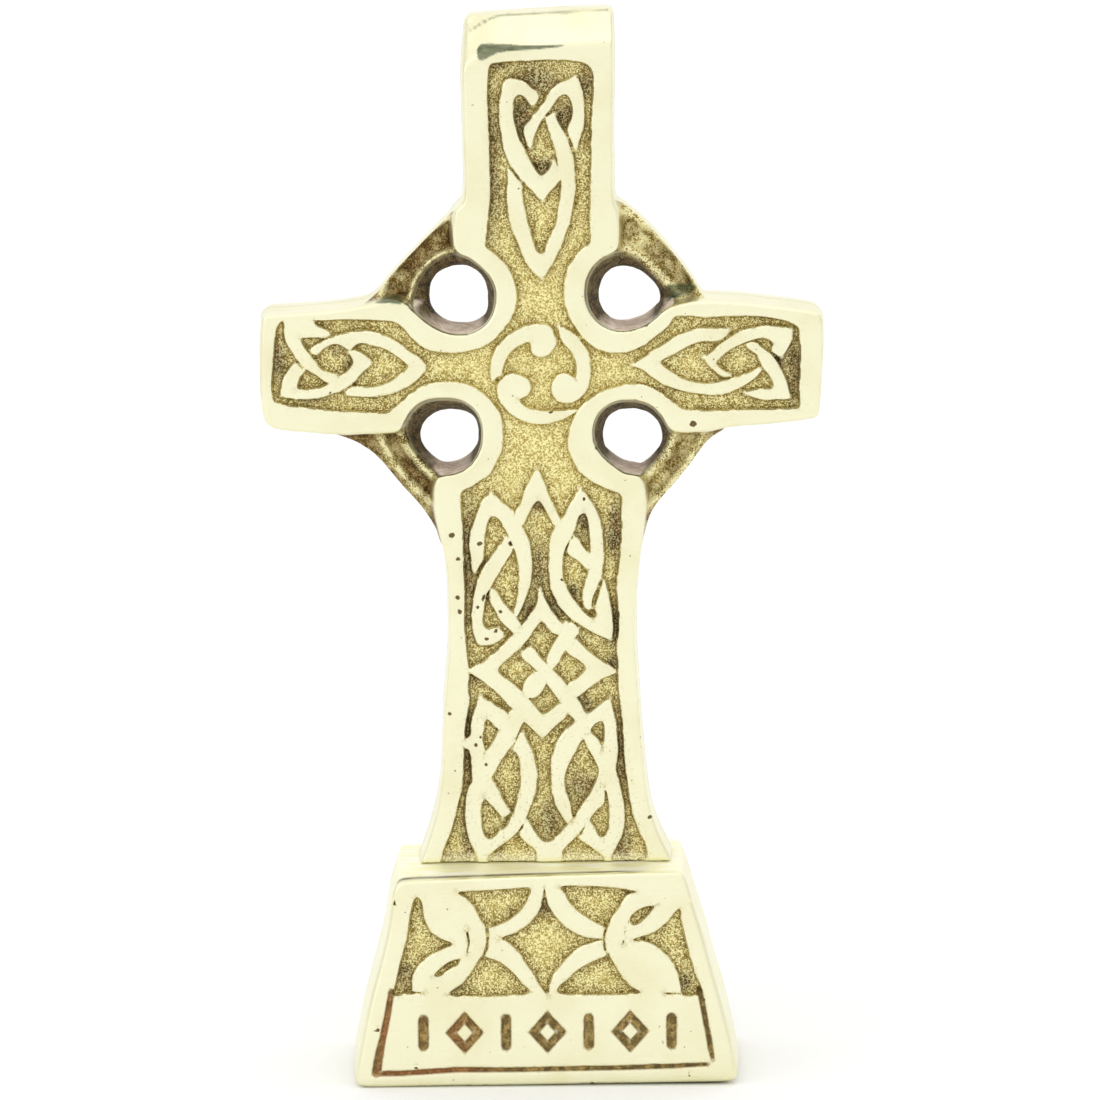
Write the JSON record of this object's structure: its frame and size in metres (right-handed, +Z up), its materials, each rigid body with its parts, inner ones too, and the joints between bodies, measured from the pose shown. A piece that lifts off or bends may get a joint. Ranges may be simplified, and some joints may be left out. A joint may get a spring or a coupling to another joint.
{
  "type": "altar cross",
  "caption": "Standing Celtic altar cross in cast brass with a ringed head, interlace relief on both faces and a wedge pedestal with a felt foot.",
  "frame": {"origin": "on the table, under the middle of the foot", "axes": "+Z up the shaft, front face towards -Y, +X towards the arm on the right hand of someone facing the front"},
  "size_m": [0.0728, 0.027, 0.14],
  "materials": {
    "cross_brass": "sand-cast brass, linished bright on the raised faces, brown patina in the sunk ground",
    "pedestal_brass": "sand-cast brass, linished bright, brown patina in the sunk ground",
    "screw_brass": "turned brass",
    "washer_brass": "stamped brass",
    "lock_steel": "zinc-plated spring steel",
    "felt": "green baize"
  },
  "bodies": {
    "root": {"cross_casting": "cross_brass", "pedestal_casting": "pedestal_brass", "fixing_screw": "screw_brass", "plain_washer": "washer_brass", "lock_washer": "lock_steel", "felt_pad": "felt"}
  },
  "joints": []
}
